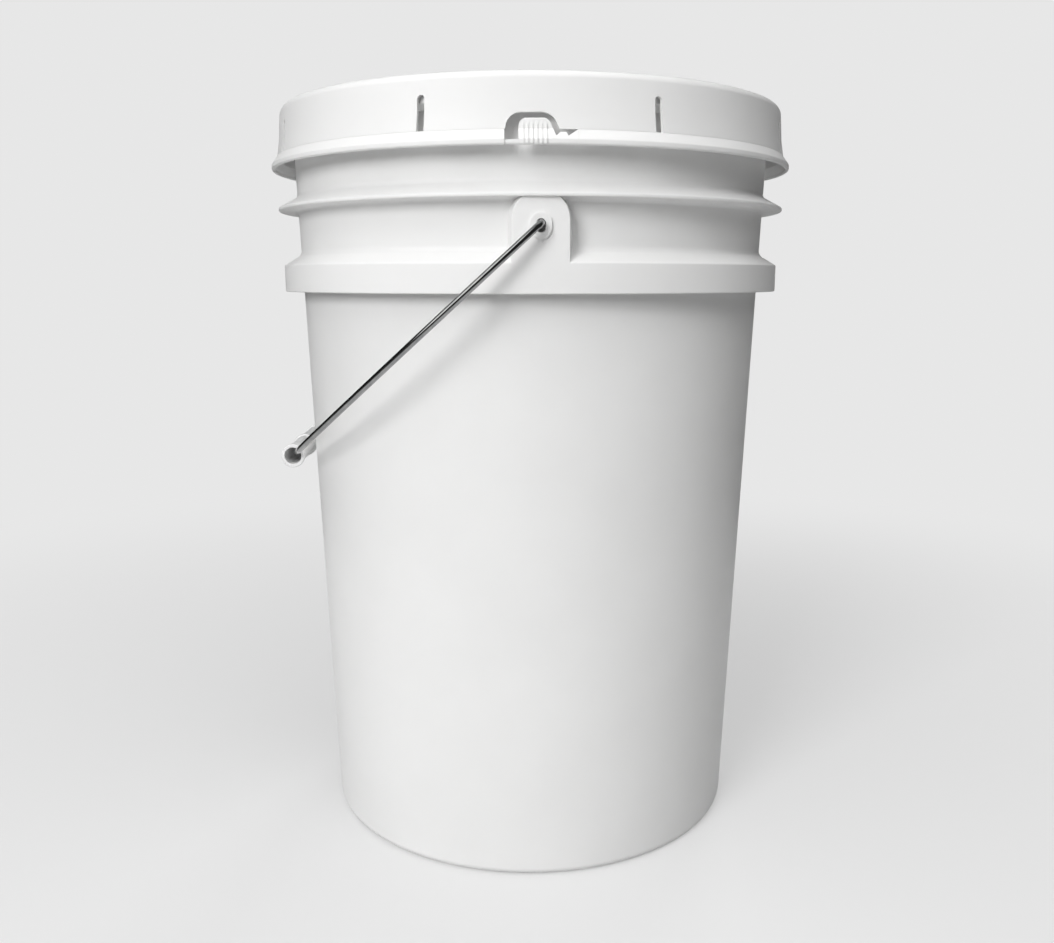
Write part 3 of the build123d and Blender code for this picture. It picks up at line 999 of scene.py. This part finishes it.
# Studio: pale floor that fades into a pale surround
FLOOR_TONE = (0.84, 0.84, 0.84)
BOUNCE_TONE = (0.54, 0.54, 0.54)   # floor as the pail is lit by it
SURROUND = (0.80, 0.80, 0.80)
AMBIENT = 0.06        # surround as light, as a share of what the camera sees
ROOM = 0.05           # what bright metal sees of the room, as a share too
CEILING = 1.0         # of the ceiling
CEILING_FROM = 0.8    # its edge, as the upward part of a direction
CEILING_TO = 0.97
SOFT_BOX = 2.1        # and of the soft box
SOFT_BOX_AIM = (-0.603, -0.583, 0.545)
SOFT_BOX_HALF = 24.0  # degrees
SOFT_BOX_EDGE = 5.0
FLOOR_R = 12.0        # metres
TABLE_NEAR = 0.5      # where the lit floor starts to end for bright metal, metres
TABLE_FAR = 0.95
FADE_FROM = 0.25      # metres from the pail
FADE_TO = 1.0
NEAR_GLOW = 0.4       # share of the surround in the floor under the pail
LAMP_AIM = (0, 0, 0.25)
LAMPS = (             # name, place in metres, side, watts
    ("key_lamp", (-2.5, -3.85, 2.0), 2.0, 146),
    ("top_lamp", (0, -0.8, 2.2), 2.8, 45),
    ("back_lamp", (1.6, 4.3, 0.9), 1.5, 95),
)


def reckon(tree, first, operation, second):
    """Two values worked into one."""
    return add(tree, "ShaderNodeMath", {0: first, 1: second}, operation=operation).outputs["Value"]


def smooth_step(tree, value, start, end, low=0.0, high=1.0):
    """Value that goes softly from low to high between a start and an end."""
    return add(tree, "ShaderNodeMapRange", {
        "Value": value,
        "From Min": start,
        "From Max": end,
        "To Min": low,
        "To Max": high,
    }, interpolation_type="SMOOTHSTEP").outputs["Result"]


def lay_floor():
    """Large floor under the pail."""
    bpy.ops.object.select_all(action="DESELECT")
    bpy.ops.mesh.primitive_circle_add(
        vertices=64, radius=FLOOR_R, fill_type="NGON", location=(0, 0, 0)
    )
    floor = bpy.context.object
    floor.name = "floor"
    material, tree, shader, place = finish("floor_paint", {
        "Roughness": 0.9,
        "Specular IOR Level": 0.1,
    })
    path = add(tree, "ShaderNodeLightPath").outputs
    distance = add(tree, "ShaderNodeVectorMath", {0: place}, operation="LENGTH").outputs["Value"]
    seen = reckon(tree, path["Is Camera Ray"], "ADD", path["Is Glossy Ray"])
    lit = tinted(tree, seen, BOUNCE_TONE, FLOOR_TONE)
    beyond = smooth_step(tree, distance, TABLE_NEAR, TABLE_FAR)
    dark = reckon(tree, beyond, "MULTIPLY", path["Is Glossy Ray"])
    paint = add(tree, "ShaderNodeMix", {
        "Factor": dark, "A": lit, "B": (ROOM, ROOM, ROOM, 1)
    }, data_type="RGBA")
    tree.links.new(paint.outputs["Result"], shader.inputs["Base Color"])
    fade = smooth_step(tree, distance, FADE_FROM, FADE_TO, NEAR_GLOW)
    share = reckon(tree, fade, "MULTIPLY", path["Is Camera Ray"])
    glow = add(tree, "ShaderNodeEmission", {"Color": (*SURROUND, 1)}).outputs["Emission"]
    mixed = add(tree, "ShaderNodeMixShader", {0: share, 1: shader.outputs["BSDF"], 2: glow})
    tree.links.new(mixed.outputs["Shader"], tree.nodes["Material Output"].inputs["Surface"])
    floor.data.materials.append(material)


def set_surround():
    """Pale surround for the camera, dimmer as light; a room with a soft box for bright metal."""
    world = bpy.data.worlds.new("surround")
    bpy.context.scene.world = world
    world.use_nodes = True
    tree = world.node_tree
    path = add(tree, "ShaderNodeLightPath").outputs
    seen = reckon(tree, path["Is Camera Ray"], "ADD", path["Is Transmission Ray"])
    plain = add(tree, "ShaderNodeMapRange", {"Value": seen, "To Min": AMBIENT}).outputs["Result"]
    aim = add(tree, "ShaderNodeTexCoord").outputs["Generated"]
    facing = add(tree, "ShaderNodeVectorMath", {
        0: aim, 1: SOFT_BOX_AIM
    }, operation="DOT_PRODUCT").outputs["Value"]
    box_from = cos(radians(SOFT_BOX_HALF + SOFT_BOX_EDGE))
    box_to = cos(radians(SOFT_BOX_HALF))
    room = smooth_step(tree, facing, box_from, box_to, ROOM, SOFT_BOX)
    height = add(tree, "ShaderNodeSeparateXYZ", {"Vector": aim}).outputs["Z"]
    ceiling = smooth_step(tree, height, CEILING_FROM, CEILING_TO, 0, CEILING)
    bright = reckon(tree, room, "MAXIMUM", ceiling)
    mirrored = add(tree, "ShaderNodeMix", {
        0: path["Is Glossy Ray"], 2: plain, 3: bright
    }, data_type="FLOAT")
    back = tree.nodes["Background"]
    back.inputs["Color"].default_value = (*SURROUND, 1)
    tree.links.new(mirrored.outputs["Result"], back.inputs["Strength"])


def hang_lamp(name, place, size, power):
    """Soft square lamp aimed at the pail's upper half."""
    lamp = bpy.data.objects.new(name, bpy.data.lights.new(name, "AREA"))
    bpy.context.scene.collection.objects.link(lamp)
    lamp.data.size = size
    lamp.data.energy = power
    lamp.location = place
    lamp.rotation_euler = (Vector(LAMP_AIM) - lamp.location).to_track_quat("-Z", "Y").to_euler()
    lamp.visible_camera = False
    lamp.visible_glossy = False


# Camera that matches the picture: pail's axis, focal length and sizes in its pixels
PHOTO_W = 1054
AXIS_PX = 530.2
FOCAL_PX = 1027.0
SENSOR = 36.0
STAND_OFF = 0.657     # metres from the axis
EYE_Z = 0.333
PITCH = 10.65         # degrees down
SIDESTEP = 1.98       # degrees left of the ear


def set_camera():
    """Camera at the picture's viewing angle."""
    camera = bpy.data.objects.new("camera", bpy.data.cameras.new("camera"))
    bpy.context.scene.collection.objects.link(camera)
    camera.data.sensor_width = SENSOR
    camera.data.sensor_fit = "HORIZONTAL"
    camera.data.lens = FOCAL_PX / PHOTO_W * SENSOR
    camera.data.shift_x = (PHOTO_W / 2 - AXIS_PX) / PHOTO_W
    turn = radians(SIDESTEP)
    camera.location = (-STAND_OFF * sin(turn), -STAND_OFF * cos(turn), EYE_Z)
    camera.rotation_euler = (radians(90 - PITCH), 0, -turn)
    bpy.context.scene.camera = camera


lay_floor()
set_surround()
for lamp in LAMPS:
    hang_lamp(*lamp)
set_camera()
bpy.context.scene.view_settings.view_transform = "Standard"
